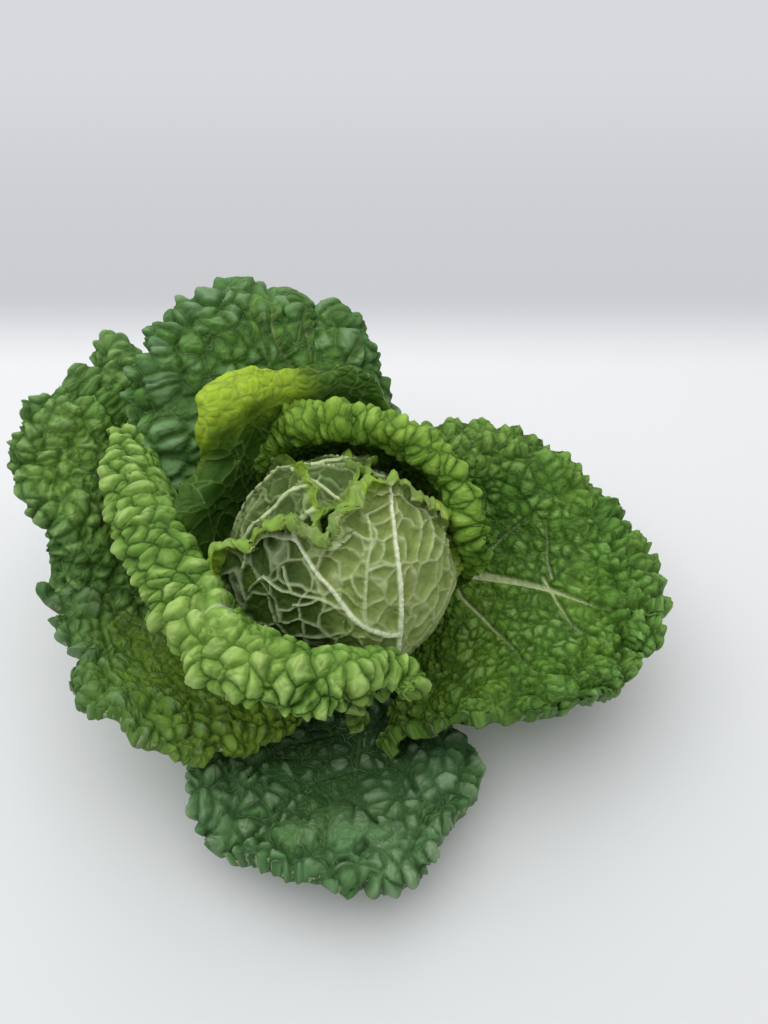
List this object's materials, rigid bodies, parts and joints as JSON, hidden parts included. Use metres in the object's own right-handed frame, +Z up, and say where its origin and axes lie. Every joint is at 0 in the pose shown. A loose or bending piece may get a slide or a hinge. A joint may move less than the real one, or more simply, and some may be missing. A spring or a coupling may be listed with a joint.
{
  "type": "savoy cabbage",
  "caption": "Savoy cabbage with a closed pale head, wrapper leaves rolled back round it and loose crinkled dark outer leaves, standing on its cut stump.",
  "frame": {"origin": "centre of the stump's flat cut face, where the cabbage stands", "axes": "+Z up out of the cut face, towards the head; +X towards the widest outer leaf on the right, -Y towards the front leaf"},
  "size_m": [0.3168, 0.2785, 0.1517],
  "materials": {
    "outer_leaf": "waxy dark blue-green savoy leaf, closely blistered, with pale veins and a paler underside",
    "wrapper_leaf": "fresh yellow-green savoy leaf, its rolled margin puffed between fine pale veins",
    "heart_leaf": "pale blanched leaf back with raised whitish veins and a green frilled margin",
    "stump": "pale cream-green stem, its cut face slightly dry and fibrous"
  },
  "bodies": {
    "root": {"stump": "stump", "heart_bud": "heart_leaf", "heart_leaf_crown": "heart_leaf", "heart_leaf_back": "heart_leaf", "heart_leaf_right": "heart_leaf", "heart_leaf_left": "heart_leaf", "wrapper_leaf_right": "wrapper_leaf", "wrapper_leaf_back": "wrapper_leaf", "wrapper_leaf_front": "wrapper_leaf", "outer_leaf_back_right": "outer_leaf", "outer_leaf_back": "outer_leaf", "outer_leaf_left": "outer_leaf", "outer_leaf_right": "outer_leaf", "outer_leaf_front_left": "outer_leaf", "outer_leaf_front": "outer_leaf"}
  },
  "joints": []
}
